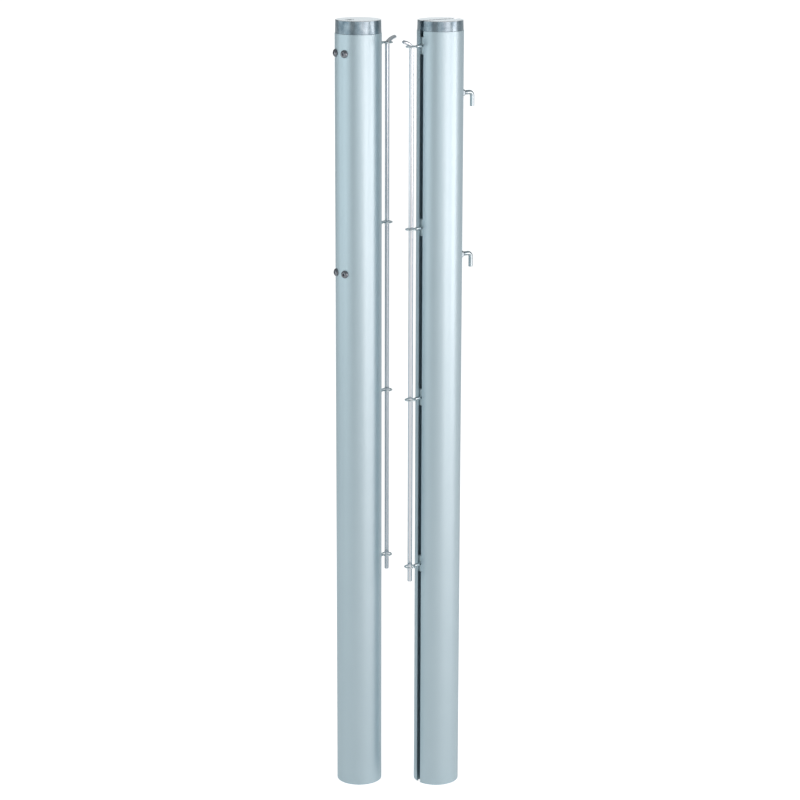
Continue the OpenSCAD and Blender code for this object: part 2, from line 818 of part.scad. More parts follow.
module carriage_nut() {
    color("peru") at_tension_post() translate([spindle_u, 0, 0]) difference() {
        union() {
            translate([0, 0, carriage_top - nut_len]) cylinder(d = nut_d, h = nut_len);
            translate([0, 0, carriage_top]) cylinder(d = nut_flange_d, h = nut_flange_h);
        }
        translate([0, 0, carriage_top - nut_len - cut_more])
            cylinder(d = spindle_d + 2 * shaft_fit, h = nut_len + nut_flange_h + 2 * cut_more);
    }
}

// A dome-headed screw along -X, its head's underside on the tube
module block_screw() {
    bar_x(post_r - screw_len, post_r, screw_d);
    difference() {
        translate([post_r, 0, 0]) rotate([0, 90, 0]) rotate_extrude()
            polygon([
                [0, 0], [screw_head_d / 2 - 0.2, 0], [screw_head_d / 2, 0.7],
                [screw_head_d / 2 - 0.7, 0.4 * screw_head_h], [screw_head_d / 2 - 1.7, 0.7 * screw_head_h],
                [screw_flat_r, screw_head_h], [0, screw_head_h]
            ]);
        translate([post_r + screw_head_h / 3, 0, 0]) rotate([0, 90, 0])
            cylinder(d = screw_socket_af / cos(30), h = screw_head_h, $fn = 6);
    }
}

module block_screws() {
    color("gray") at_tension_post() at_block_screws() block_screw();
}

anchor_tube();
anchor_cap();
hook_rivet_nuts();
hook_washers();
hook_lock_nuts();
upper_rope_hook();
lower_rope_hook();
anchor_rod();
anchor_rod_tip();
tension_tube();
tension_cap();
pulley();
pulley_bush();
pulley_axle();
upper_bearing_block();
lower_bearing_block();
upper_bush();
lower_bush();
thrust_bearing();
lower_thrust_washer();
spindle();
crank_socket();
socket_pin();
spindle_lock_nut();
tension_carriage();
carriage_nut();
block_screws();
tension_rod();
tension_rod_tip();
for (i = [1 : 4]) {
    anchor_slider(i);
    anchor_eyelet(i);
    tension_slider(i);
    tension_eyelet(i);
}
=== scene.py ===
"""A pair of round aluminium tennis net posts, dressed for the studio.

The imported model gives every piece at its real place, in metres: +Z up, X along the net.
The camera stands where the photographer stood, to the side of the net's line.
"""

import json
import math

import bmesh
import bpy
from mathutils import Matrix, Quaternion, Vector


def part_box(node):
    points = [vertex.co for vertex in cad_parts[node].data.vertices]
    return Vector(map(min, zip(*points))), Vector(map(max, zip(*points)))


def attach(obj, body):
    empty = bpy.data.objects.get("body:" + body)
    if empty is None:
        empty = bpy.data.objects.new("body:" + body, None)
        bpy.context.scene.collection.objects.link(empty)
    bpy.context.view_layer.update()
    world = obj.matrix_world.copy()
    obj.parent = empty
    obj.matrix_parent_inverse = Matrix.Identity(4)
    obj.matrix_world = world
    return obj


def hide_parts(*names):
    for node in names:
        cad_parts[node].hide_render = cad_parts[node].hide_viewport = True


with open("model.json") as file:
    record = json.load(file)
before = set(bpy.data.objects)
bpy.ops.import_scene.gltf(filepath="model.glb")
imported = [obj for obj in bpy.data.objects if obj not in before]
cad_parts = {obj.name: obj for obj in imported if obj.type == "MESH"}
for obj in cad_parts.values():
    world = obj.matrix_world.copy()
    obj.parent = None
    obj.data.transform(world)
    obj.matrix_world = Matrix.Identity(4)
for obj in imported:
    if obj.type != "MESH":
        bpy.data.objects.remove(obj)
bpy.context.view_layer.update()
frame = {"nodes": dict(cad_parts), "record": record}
nodes = frame["nodes"]
slot_of = {part["node"]: part["material_slot"] for part in frame["record"]["subparts"]}

MM = 0.001

# How far the camera stands round from the -Y side, and the camera itself
PHOTO_TURN = math.radians(-37)
CAMERA_DISTANCE = 4.409
CAMERA_HEIGHT = 1.836
CAMERA_PITCH = math.radians(14.048)
CAMERA_YAW = math.radians(-0.036)
CAMERA_ROLL = math.radians(0.142)
FOCAL_PIXELS = 2500.8
IMAGE_PIXELS = 800
SENSOR_WIDTH = 36.0

tension_low, tension_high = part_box("tension_tube")
anchor_low, anchor_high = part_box("anchor_tube")
tension_axis = (tension_low + tension_high) / 2
anchor_axis = (anchor_low + anchor_high) / 2
pair_middle = (tension_axis + anchor_axis) / 2
pair_middle.z = 0


def photo_direction(turn):
    """Level direction from the pair, turned from the camera's side towards the photo's right."""
    angle = PHOTO_TURN + turn
    return Vector((math.sin(angle), -math.cos(angle), 0))


# Node helpers

def new_material(name):
    material = bpy.data.materials.new(name)
    material.use_nodes = True
    return material, material.node_tree


def fill(tree, made, inputs):
    """Gives each input its value, or links it to the socket that feeds it."""
    for name, value in inputs.items():
        if isinstance(value, bpy.types.NodeSocket):
            tree.links.new(value, made.inputs[name])
        else:
            made.inputs[name].default_value = value


def node(tree, kind, inputs=None, **settings):
    made = tree.nodes.new(kind)
    for name, value in settings.items():
        setattr(made, name, value)
    fill(tree, made, inputs or {})
    return made


def maths(tree, operation, first, second):
    return node(tree, "ShaderNodeMath", {0: first, 1: second}, operation=operation).outputs["Value"]


def opaque(colour):
    return (*colour, 1)


def blend_colours(tree, factor, first, second, blend_type="MIX"):
    """The two colours, with alpha, from all of the first to all of the second."""
    mixed = node(tree, "ShaderNodeMix", {"Factor": factor, "A": first, "B": second},
                 data_type="RGBA", blend_type=blend_type)
    return mixed.outputs["Result"]


def spread(tree, value, low, high):
    """Maps a value about 0.5, as the noises give it, onto the range from low to high."""
    ranged = node(tree, "ShaderNodeMapRange", {
        "Value": value, "From Min": 0.25, "From Max": 0.75, "To Min": low, "To Max": high})
    return ranged.outputs["Result"]


def bump(tree, height, strength, distance):
    bumped = node(tree, "ShaderNodeBump", {
        "Height": height, "Strength": strength, "Distance": distance})
    return bumped.outputs["Normal"]


def object_coordinates(tree):
    return node(tree, "ShaderNodeTexCoord").outputs["Object"]


def new_group(name, inputs):
    """A shader group that makes one value, from inputs given as (name, kind, default)."""
    group = bpy.data.node_groups.new(name, "ShaderNodeTree")
    for socket_name, kind, default in inputs:
        socket = group.interface.new_socket(socket_name, in_out="INPUT", socket_type=kind)
        if default is not None:
            socket.default_value = default
    group.interface.new_socket("Value", in_out="OUTPUT", socket_type="NodeSocketFloat")
    return group, node(group, "NodeGroupInput").outputs, node(group, "NodeGroupOutput")


def effect(tree, group, where, **values):
    """The value that a shader group makes at the given coordinates."""
    placed = node(tree, "ShaderNodeGroup", {"Vector": where, **values}, node_tree=group)
    return placed.outputs["Value"]


# Shared effects

def make_drawn_lines():
    """Fine lines along a drawn or ground surface, as a value about 0.5."""
    group, take, give = new_group("drawn_lines", [
        ("Vector", "NodeSocketVector", None), ("Across", "NodeSocketFloat", 900.0),
        ("Along", "NodeSocketFloat", 6.0)])
    stretch = node(group, "ShaderNodeCombineXYZ", {
        "X": take["Across"], "Y": take["Across"], "Z": take["Along"]})
    scaled = node(group, "ShaderNodeVectorMath", {
        0: take["Vector"], 1: stretch.outputs["Vector"]}, operation="MULTIPLY")
    noise = node(group, "ShaderNodeTexNoise", {
        "Vector": scaled.outputs["Vector"], "Scale": 1.0, "Detail": 3.0})
    fill(group, give, {"Value": noise.outputs["Fac"]})
    return group


def make_mottle():
    """Soft cloudy variation, as a value about 0.5."""
    group, take, give = new_group("mottle", [
        ("Vector", "NodeSocketVector", None), ("Scale", "NodeSocketFloat", 60.0),
        ("Detail", "NodeSocketFloat", 3.0)])
    noise = node(group, "ShaderNodeTexNoise", {
        name: take[name] for name in ("Vector", "Scale", "Detail")})
    fill(group, give, {"Value": noise.outputs["Fac"]})
    return group


def make_inner_walls():
    """1 on the walls of a tube's channel and bore, 0 on its outside, by distance to its axis."""
    group, take, give = new_group("inner_walls", [
        ("Vector", "NodeSocketVector", None), ("Axis", "NodeSocketVector", (0, 0, 0)),
        ("Radius", "NodeSocketFloat", 40 * MM)])
    level = node(group, "ShaderNodeVectorMath", {
        0: take["Vector"], 1: (1, 1, 0)}, operation="MULTIPLY")
    away = node(group, "ShaderNodeVectorMath", {
        0: level.outputs["Vector"], 1: take["Axis"]}, operation="DISTANCE")
    fill(group, give, {
        "Value": maths(group, "LESS_THAN", away.outputs["Value"], take["Radius"])})
    return group


DRAWN_LINES = make_drawn_lines()
MOTTLE = make_mottle()
INNER_WALLS = make_inner_walls()

# Materials

# All of a tube nearer to its axis than this is a wall of its channel or bore
INNER_RADIUS = 40.9 * MM
# Painted shade, multiplied into the colour of the walls of a tube's channel and bore
PAINTED_RECESS_SHADE = (0.55, 0.58, 0.60)


def metal(name, dark, light, rough, cloud, lines=None, metallic=1.0, tube_axis=None):
    """A bare metal: two close colours in clouds of a scale, a range of roughness, and any lines.

    A tube's axis gives the walls of its channel and bore a painted shade, darker than its outside.
    """
    material, tree = new_material(name)
    where = object_coordinates(tree)
    mottle = effect(tree, MOTTLE, where, Scale=cloud)
    colour = blend_colours(tree, mottle, opaque(dark), opaque(light))
    if tube_axis:
        # The channel and bore walls are darkened here: painted shade for the recess
        inner = effect(tree, INNER_WALLS, where, Axis=(tube_axis.x, tube_axis.y, 0),
                       Radius=INNER_RADIUS)
        colour = blend_colours(tree, inner, colour, opaque(PAINTED_RECESS_SHADE), "MULTIPLY")
    grain = mottle
    if lines:
        grain = effect(tree, DRAWN_LINES, where, Across=lines[0], Along=lines[1])
    fill(tree, tree.nodes["Principled BSDF"], {
        "Metallic": metallic, "Base Color": colour, "Roughness": spread(tree, grain, *rough)})
    return material


CAP_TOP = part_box("anchor_cap")[1].z


def make_casting():
    """Cast aluminium: a rubbed band whose dark and light patches are partly its own tone and partly
    painted reflections, and a top face painted near-white as a highlight.
    """
    material, tree = new_material("casting_with_painted_light")
    where = object_coordinates(tree)
    patches = effect(tree, MOTTLE, where, Scale=75.0, Detail=4.0)
    # The band's dark and light patches: partly the casting's own tone, partly painted reflections
    band = blend_colours(tree, spread(tree, patches, 0.0, 1.0),
                         opaque((0.17, 0.24, 0.29)), opaque((0.44, 0.53, 0.58)))
    rubbing = effect(tree, DRAWN_LINES, where, Across=300.0, Along=60.0)
    split = node(tree, "ShaderNodeSeparateXYZ", {"Vector": where})
    on_top = node(tree, "ShaderNodeMapRange", {
        "Value": split.outputs["Z"],
        "From Min": CAP_TOP - 1.2 * MM, "From Max": CAP_TOP - 0.4 * MM})
    # The top face's near-white is a painted highlight, lighter than the band because of how light
    # falls on it
    painted_top_highlight = opaque((0.95, 0.97, 0.98))
    fill(tree, tree.nodes["Principled BSDF"], {
        "Metallic": 1.0,
        "Base Color": blend_colours(tree, on_top.outputs["Result"], band, painted_top_highlight),
        "Roughness": spread(tree, rubbing, 0.23, 0.33),
        "Normal": bump(tree, patches, 0.5, 0.3 * MM)})
    return material


def make_nylon():
    """Black moulded nylon, with the fine grain of its mould."""
    material, tree = new_material("moulded_nylon")
    mottle = effect(tree, MOTTLE, object_coordinates(tree), Scale=400.0)
    fill(tree, tree.nodes["Principled BSDF"], {
        "Base Color": blend_colours(tree, mottle, opaque((0.012, 0.012, 0.013)),
                                    opaque((0.022, 0.022, 0.024))),
        "Roughness": spread(tree, mottle, 0.40, 0.52),
        "Normal": bump(tree, mottle, 0.4, 0.1 * MM)})
    return material


satin_anodised = {
    post: metal(
        "satin_anodised_" + post, (0.615, 0.755, 0.812), (0.650, 0.790, 0.846), (0.40, 0.47),
        cloud=14.0, lines=(1400.0, 3.0), metallic=0.85, tube_axis=axis)
    for post, axis in (("tension", tension_axis), ("anchor", anchor_axis))}
rod_zinc = metal(
    "rod_zinc", (0.84, 0.87, 0.91), (0.93, 0.95, 0.98), (0.18, 0.28),
    cloud=120.0, lines=(1200.0, 20.0))
nut_zinc = metal(
    "nut_zinc", (0.28, 0.34, 0.37), (0.40, 0.47, 0.50), (0.24, 0.34), cloud=240.0)
ring_steel = metal(
    "ring_steel", (0.66, 0.75, 0.78), (0.82, 0.88, 0.90), (0.16, 0.26), cloud=200.0)
dark_steel = metal(
    "dark_steel", (0.20, 0.21, 0.23), (0.34, 0.35, 0.38), (0.14, 0.24), cloud=260.0)

FINISHES = {
    "anodised_tube": satin_anodised["tension"],
    "cast_cap": make_casting(),
    "zinc_steel": metal(
        "bright_zinc", (0.66, 0.71, 0.75), (0.80, 0.84, 0.88), (0.24, 0.36),
        cloud=120.0, lines=(1200.0, 20.0)),
    "bright_steel": metal(
        "polished_steel", (0.42, 0.50, 0.53), (0.58, 0.66, 0.69), (0.14, 0.24), cloud=200.0),
    "slider_steel": metal(
        "plain_zinc", (0.74, 0.84, 0.86), (0.86, 0.94, 0.95), (0.32, 0.44),
        cloud=220.0, metallic=0.8),
    "block_aluminium": metal(
        "sawn_aluminium", (0.50, 0.51, 0.52), (0.62, 0.63, 0.64), (0.30, 0.45),
        cloud=90.0, lines=(900.0, 40.0)),
    "spindle_steel": metal(
        "oiled_steel", (0.26, 0.27, 0.28), (0.38, 0.39, 0.40), (0.22, 0.35),
        cloud=150.0, lines=(1500.0, 30.0)),
    "bronze": metal(
        "bearing_bronze", (0.50, 0.30, 0.13), (0.64, 0.42, 0.21), (0.25, 0.36), cloud=180.0),
    "black_nylon": make_nylon(),
}

for cad_name, slot in slot_of.items():
    nodes[cad_name].data.materials.clear()
    nodes[cad_name].data.materials.append(FINISHES[slot])
nodes["anchor_tube"].data.materials[0] = satin_anodised["anchor"]


# Modelling by hand

def deselect_all():
    bpy.ops.object.select_all(action="DESELECT")


def activate(piece):
    deselect_all()
    bpy.context.view_layer.objects.active = piece
    piece.select_set(True)


def named(name):
    """The primitive that was just added, under its piece's name."""
    piece = bpy.context.active_object
    piece.name = name
    piece.data.name = name
    return piece


def new_copy(piece, name):
    """A copy with its own mesh."""
    twin = bpy.data.objects.new(name, piece.data.copy())
    bpy.context.scene.collection.objects.link(twin)
    return twin


def enter(piece):
    activate(piece)
    bpy.ops.object.mode_set(mode="EDIT")


def leave():
    bpy.ops.object.mode_set(mode="OBJECT")


def pick_edges(piece, test):
    bpy.ops.mesh.select_mode(type="EDGE")
    bpy.ops.mesh.select_all(action="DESELECT")
    mesh = bmesh.from_edit_mesh(piece.data)
    for edge in mesh.edges:
        edge.select_set(bool(test(edge)))
    bmesh.update_edit_mesh(piece.data)


def close_up(gap=1e-6):
    """Merges doubles and turns every face outwards, on the piece that is in edit mode."""
    bpy.ops.mesh.select_all(action="SELECT")
    bpy.ops.mesh.remove_doubles(threshold=gap)
    bpy.ops.mesh.normals_make_consistent(inside=False)


def keep_place(piece):
    """Puts the piece's place and turn into its mesh."""
    activate(piece)
    bpy.ops.object.transform_apply(location=True, rotation=True, scale=True)
    return piece


def settle(piece, at, way=(0, 0, 1)):
    """Moves a piece that was made from the origin along +Z to its place."""
    piece.rotation_mode = "QUATERNION"
    piece.rotation_quaternion = Vector(way).to_track_quat("Z", "Y")
    piece.location = at
    return keep_place(piece)


def raised(piece, height):
    """Lifts a piece that was made at the origin."""
    piece.location = (0, 0, height)
    return keep_place(piece)


def apply_modifier(piece, kind, **values):
    activate(piece)
    modifier = piece.modifiers.new(kind.lower(), kind)
    for name, value in values.items():
        setattr(modifier, name, value)
    bpy.ops.object.modifier_apply(modifier=modifier.name)


def smooth(piece, angle=32.0):
    activate(piece)
    bpy.ops.object.shade_smooth_by_angle(angle=math.radians(angle))


def cut_with(piece, tool, operation="DIFFERENCE"):
    apply_modifier(piece, "BOOLEAN", operation=operation, object=tool, solver="EXACT")
    bpy.data.objects.remove(tool)


def join(name, pieces):
    """Several shells that one person would pick up as one piece."""
    deselect_all()
    for piece in pieces:
        piece.select_set(True)
    bpy.context.view_layer.objects.active = pieces[0]
    bpy.ops.object.join()
    return named(name)


def start_outline(name, points):
    """A closed outline in the XZ plane, from points given as (radius, height), in edit mode."""
    deselect_all()
    bpy.ops.mesh.primitive_circle_add(vertices=len(points), radius=0.01, fill_type="NOTHING")
    piece = named(name)
    enter(piece)
    mesh = bmesh.from_edit_mesh(piece.data)
    mesh.verts.ensure_lookup_table()
    for vert, (radius, height) in zip(mesh.verts, points):
        vert.co = Vector((radius, 0, height))
    bmesh.update_edit_mesh(piece.data)
    return piece


def lathe(name, outline, steps=48):
    """A turned shape round Z, from (height, radius) points that close or end on the axis."""
    piece = start_outline(name, [(radius, height) for height, radius in outline])
    if outline[0][1] == 0 and outline[-1][1] == 0:
        pick_edges(piece, lambda edge: all(vert.co.x == 0 for vert in edge.verts))
        bpy.ops.mesh.delete(type="EDGE_FACE")
    bpy.ops.mesh.select_all(action="SELECT")
    bpy.ops.mesh.spin(steps=steps, angle=2 * math.pi, center=(0, 0, 0), axis=(0, 0, 1))
    close_up()
    leave()
    return piece


def hexagon_bar(name, flats, length, foot=0.0):
    """A hexagon bar along +Z from the foot, with two of its corners towards Y."""
    deselect_all()
    bpy.ops.mesh.primitive_cylinder_add(
        vertices=6, radius=flats / math.sqrt(3), depth=length, location=(0, 0, foot + length / 2))
    piece = named(name)
    return settle(piece, piece.location.copy())


def ridge(name, root, crest, half_root, half_crest, pitch, turns, left_handed=False, steps=28):
    """A thread's ridge round Z, as one closed helical strip that starts at the origin's height."""
    piece = start_outline(name, [
        (root, -half_root), (crest, -half_crest), (crest, half_crest), (root, half_root)])
    leave()
    turn = -2 * math.pi if left_handed else 2 * math.pi
    apply_modifier(piece, "SCREW", axis="Z", angle=turn, screw_offset=pitch, iterations=turns,
                   steps=steps, render_steps=steps, use_merge_vertices=False,
                   use_smooth_shade=False)
    enter(piece)
    bpy.ops.mesh.select_all(action="SELECT")
    bpy.ops.mesh.fill_holes(sides=4)
    close_up()
    leave()
    return piece


def cone_step(point, heading, length, growth):
    """Draws a bar on by a short cone, for the broken edge of an end."""
    bpy.ops.mesh.extrude_region_move(TRANSFORM_OT_translate={"value": heading * length})
    point = point + heading * length
    bpy.ops.transform.resize(value=(growth, growth, growth), center_override=point)
    return point


BEND_STEP_DEGREES = 5


def bar_along(name, radius, end_break, start, way, across, course, sides=32):
    """A round bar drawn on from its first end by straight runs and bends towards one side.

    across is the level axis of every bend, and course is a list of (length,) and (radius, angle).
    """
    deselect_all()
    bpy.ops.mesh.primitive_circle_add(
        vertices=sides, radius=radius - end_break, fill_type="NGON")
    bar = settle(named(name), start, way)
    enter(bar)
    bpy.ops.mesh.select_all(action="SELECT")
    point = Vector(start)
    heading = Vector(way).normalized()
    across = Vector(across).normalized()
    point = cone_step(point, heading, end_break, radius / (radius - end_break))
    for leg in course:
        if len(leg) == 1:
            bpy.ops.mesh.extrude_region_move(
                TRANSFORM_OT_translate={"value": heading * leg[0]})
            point = point + heading * leg[0]
        else:
            bend_radius, angle = leg
            centre = point + across.cross(heading).normalized() * bend_radius
            steps = max(4, round(math.degrees(abs(angle)) / BEND_STEP_DEGREES))
            bpy.ops.mesh.spin(steps=steps, angle=-angle, center=centre, axis=across)
            turning = Quaternion(across, angle)
            point = centre + turning @ (point - centre)
            heading = turning @ heading
    cone_step(point, heading, end_break, (radius - end_break) / radius)
    close_up()
    leave()
    return bar


def dress(piece, body, slot_name, *stood_for, finish=None):
    """Gives a finished piece its finish, its body and the CAD solids that it stands for."""
    piece.data.materials.clear()
    piece.data.materials.append(finish or FINISHES[slot_name])
    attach(piece, body)
    if stood_for:
        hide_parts(*stood_for)


# Places on the two posts: out from the axis towards the net's side, across, and up

def on_tension_post(out, across, up):
    return Vector((tension_axis.x + out, tension_axis.y + across, up))


def on_anchor_post(out, across, up):
    return Vector((anchor_axis.x - out, anchor_axis.y - across, up))


POSTS = {"tension": (on_tension_post, 1), "anchor": (on_anchor_post, -1)}
EYELET_NUMBERS = range(1, 5)

# The net rods, each one bar from its foot to its pressed tip

ROD_OUT = 63.5 * MM
ROD_RADIUS = 4.25 * MM
ROD_END_BREAK = 0.7 * MM
FIRST_BEND = 9 * MM
GRIP_BEND = 30 * MM
FIRST_ANGLE = math.radians(50)
GRIP_ANGLE = math.radians(26)
TIP_RUN = 2.5 * MM
# The grip's thickness and width, as shares of the bar's 8.5 mm
GRIP_THICK = 6.5 / 8.5
GRIP_WIDE = 9.5 / 8.5


def press_grip(rod, start, out_way):
    """Presses the bent end flatter and wider, from nothing at the bend's start to all at its end.

    out_way points from the post's axis to the rod, which is the way that the rod bends.
    """
    centre = start + out_way * FIRST_BEND
    to_grip = -out_way * math.cos(FIRST_ANGLE) + Vector((0, 0, math.sin(FIRST_ANGLE)))
    grip_centre = centre + to_grip * (FIRST_BEND - GRIP_BEND)
    for vert in rod.data.vertices:
        if vert.co.z < start.z - 1e-5 and (vert.co - start).dot(out_way) < FIRST_BEND:
            continue
        from_centre = vert.co - centre
        turn = math.atan2(from_centre.z, -from_centre.dot(out_way))
        if turn <= FIRST_ANGLE and from_centre.length < 2 * FIRST_BEND:
            share = max(0.0, turn / FIRST_ANGLE)
            pivot, line = centre, FIRST_BEND
        else:
            share = 1.0
            pivot, line = grip_centre, GRIP_BEND
        arm = vert.co - pivot
        arm_level = arm.dot(out_way)
        if share == 1.0 and math.atan2(arm.z, -arm_level) > FIRST_ANGLE + GRIP_ANGLE:
            last = FIRST_ANGLE + GRIP_ANGLE
            normal = -out_way * math.cos(last) + Vector((0, 0, math.sin(last)))
        else:
            normal = (out_way * arm_level + Vector((0, 0, arm.z))).normalized()
        offset = arm.dot(normal) - line
        thick = 1 + (GRIP_THICK - 1) * share
        wide = 1 + (GRIP_WIDE - 1) * share
        vert.co += normal * offset * (thick - 1)
        vert.co.y = start.y + (vert.co.y - start.y) * wide
    rod.data.update()


def make_net_rod(post):
    place, side = POSTS[post]
    low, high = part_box(post + "_rod")
    rise = high.z - low.z
    rod = bar_along(
        "net_rod_" + post, ROD_RADIUS, ROD_END_BREAK, place(ROD_OUT, 0, low.z), (0, 0, 1),
        Vector((0, side, 0)),
        [(rise - ROD_END_BREAK,), (FIRST_BEND, FIRST_ANGLE), (GRIP_BEND, GRIP_ANGLE),
         (TIP_RUN - ROD_END_BREAK,)],
        sides=40)
    press_grip(rod, place(ROD_OUT, 0, high.z), Vector((side, 0, 0)))
    smooth(rod, 50)
    dress(rod, post + "_rod_body", "zinc_steel", post + "_rod", post + "_rod_tip", finish=rod_zinc)


for post_name in POSTS:
    make_net_rod(post_name)

# The ring eyelets: forged in one with their shanks, so the ring runs smoothly into the shank

RING_RADIUS = 8.85 * MM
RING_WIRE = 1.6 * MM
SHANK_RADIUS = 3 * MM
SHANK_START = 30.3 * MM
NECK_LENGTH = 3.2 * MM
FORGING_GRAIN = 0.32 * MM


def forge_eyelet():
    """One eyelet, its ring round the origin and its shank towards -X."""
    inner_end = SHANK_START - ROD_OUT
    deselect_all()
    bpy.ops.mesh.primitive_torus_add(
        major_radius=RING_RADIUS, minor_radius=RING_WIRE, major_segments=64, minor_segments=20)
    ring = named("eyelet_ring")
    ring_at = -RING_RADIUS - inner_end
    neck = ring_at - NECK_LENGTH
    shank = lathe("eyelet_shank", [
        (0, 0), (0, SHANK_RADIUS - 0.4 * MM), (0.4 * MM, SHANK_RADIUS),
        (neck, SHANK_RADIUS), (neck + 1.2 * MM, SHANK_RADIUS - 0.35 * MM),
        (neck + 2.6 * MM, RING_WIRE + 0.35 * MM), (ring_at, RING_WIRE), (ring_at, 0)], steps=32)
    settle(shank, (inner_end, 0, 0), (1, 0, 0))
    eyelet = join("eyelet", [ring, shank])
    apply_modifier(eyelet, "REMESH", mode="VOXEL", voxel_size=FORGING_GRAIN, adaptivity=0.0)
    apply_modifier(eyelet, "SMOOTH", factor=0.5, iterations=5)
    activate(eyelet)
    bpy.ops.object.shade_smooth()
    return eyelet


eyelet_pattern = forge_eyelet()
for post_name, (place_on, side_sign) in POSTS.items():
    for number in EYELET_NUMBERS:
        node_name = "%s_eyelet_%d" % (post_name, number)
        ring_low, ring_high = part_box(node_name)
        eyelet = new_copy(eyelet_pattern, "ring_eyelet_%s_%d" % (post_name, number))
        eyelet.rotation_mode = "QUATERNION"
        eyelet.rotation_quaternion = Quaternion((0, 0, 1), 0 if side_sign > 0 else math.pi)
        eyelet.location = place_on(ROD_OUT, 0, (ring_low.z + ring_high.z) / 2)
        keep_place(eyelet)
        dress(eyelet, "%s_eyelet_set_%d" % (post_name, number), "bright_steel", node_name,
              finish=ring_steel)
bpy.data.objects.remove(eyelet_pattern)

# The rope hooks: threaded bar, bent down, held by a collared lock nut on a washer

HOOK_RADIUS = 4 * MM
HOOK_THREAD_END = 58.5 * MM
HOOK_BEND = 7 * MM
HOOK_END_BREAK = 0.5 * MM
HOOK_END_SHORT = 0.8 * MM
HOOK_THREAD_ROOT = 3.4 * MM
HOOK_THREAD_PITCH = 1.25 * MM
HOOK_THREAD_BREAK = 0.4 * MM
# From the hook's inner end to its first turn of thread
HOOK_THREAD_START = 0.7 * MM
HOOKS = ("upper_rope_hook", "lower_rope_hook")


def make_rope_hook(name, node_name):
    low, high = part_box(node_name)
    level = high.z - HOOK_RADIUS
    inner = low.x - anchor_axis.x
    reach = high.x - anchor_axis.x - HOOK_RADIUS
    bar = bar_along(
        name, HOOK_RADIUS, HOOK_END_BREAK,
        Vector((anchor_axis.x + HOOK_THREAD_END, anchor_axis.y, level)), (1, 0, 0), (0, 1, 0),
        [(reach - HOOK_BEND - HOOK_THREAD_END - HOOK_END_BREAK,), (HOOK_BEND, math.pi / 2),
         (level - HOOK_BEND - low.z - HOOK_END_SHORT,)])
    smooth(bar, 40)
    length = HOOK_THREAD_END - inner
    core = lathe("hook_core", [
        (0, 0), (0, HOOK_THREAD_ROOT - HOOK_THREAD_BREAK), (HOOK_THREAD_BREAK, HOOK_THREAD_ROOT),
        (length, HOOK_THREAD_ROOT), (length, 0)], steps=32)
    smooth(core)
    turns = int((length - 1.2 * MM) / HOOK_THREAD_PITCH)
    thread = ridge("hook_thread", HOOK_THREAD_ROOT - 0.05 * MM, HOOK_RADIUS - 0.03 * MM,
                   0.52 * MM, 0.10 * MM, HOOK_THREAD_PITCH, turns)
    shaft = join("hook_shaft", [core, raised(thread, HOOK_THREAD_START)])
    settle(shaft, (anchor_axis.x + inner, anchor_axis.y, level), (1, 0, 0))
    dress(join(name, [bar, shaft]), "posts", "bright_steel", node_name)


for hook_name in HOOKS:
    make_rope_hook(hook_name.replace("rope_hook", "net_rope_hook"), hook_name)

NUT_FLATS = 13 * MM
NUT_HEIGHT = 6.5 * MM
NUT_BORE_LENGTH = 20 * MM
# Distances out from the post's axis
NUT_OUT = 45 * MM
WASHER_OUT = 43 * MM


def chamfered_hexagon(name, flats, length):
    """A hexagon bar along +Z whose corners are turned away at both ends, as on a nut."""
    corner = flats / math.sqrt(3)
    face, slope, outside = flats / 2 * 0.97, (corner - flats / 2) * 0.7, corner * 1.01
    blank = hexagon_bar(name, flats, length)
    turned = lathe(name + "_blank", [
        (0, 0), (0, face), (slope, outside), (length - slope, outside), (length, face),
        (length, 0)], steps=72)
    cut_with(blank, turned, "INTERSECT")
    return blank


def bore_out(piece, radius, length, foot=-1 * MM):
    deselect_all()
    bpy.ops.mesh.primitive_cylinder_add(
        vertices=48, radius=radius, depth=length, location=(0, 0, foot + length / 2))
    cut_with(piece, named("drill"))
    enter(piece)
    close_up(2e-6)
    leave()


def make_lock_nut():
    nut = chamfered_hexagon("lock_nut", NUT_FLATS, NUT_HEIGHT)
    bore_out(nut, HOOK_RADIUS + 0.02 * MM, NUT_BORE_LENGTH)
    collar = lathe("nut_collar", [
        (6.4 * MM, 4.1 * MM), (6.4 * MM, 5.7 * MM), (8.4 * MM, 5.7 * MM), (9.1 * MM, 5.45 * MM),
        (9.5 * MM, 4.9 * MM), (9.5 * MM, 4.4 * MM), (9.2 * MM, 4.1 * MM)])
    return join("lock_nut", [nut, collar])


def make_washer():
    return lathe("washer", [
        (0.25 * MM, 4.2 * MM), (0, 4.45 * MM), (0, 7.7 * MM), (0.3 * MM, 8 * MM),
        (1.7 * MM, 8 * MM), (2 * MM, 7.7 * MM), (2 * MM, 4.45 * MM), (1.75 * MM, 4.2 * MM)],
        steps=56)


def make_pair_on_hooks(pattern, name, out, node_name):
    """The same small piece on the upper and the lower hook, which share one CAD solid group."""
    pair = []
    for hook in HOOKS:
        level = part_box(hook)[1].z - HOOK_RADIUS
        spot = Vector((anchor_axis.x + out, anchor_axis.y, level))
        pair.append(settle(new_copy(pattern, name), spot, (1, 0, 0)))
    bpy.data.objects.remove(pattern)
    both = join(name, pair)
    smooth(both)
    dress(both, "posts", "zinc_steel", node_name, finish=nut_zinc)


make_pair_on_hooks(make_lock_nut(), "collared_lock_nuts", NUT_OUT, "hook_lock_nuts")
make_pair_on_hooks(make_washer(), "plain_washers", WASHER_OUT, "hook_washers")

# The dome-headed screws that hold the bearing blocks

SCREW_HEIGHTS = (1362.5 * MM, 971.5 * MM)
SCREW_TURN = math.radians(18)
TUBE_RADIUS = 41.5 * MM


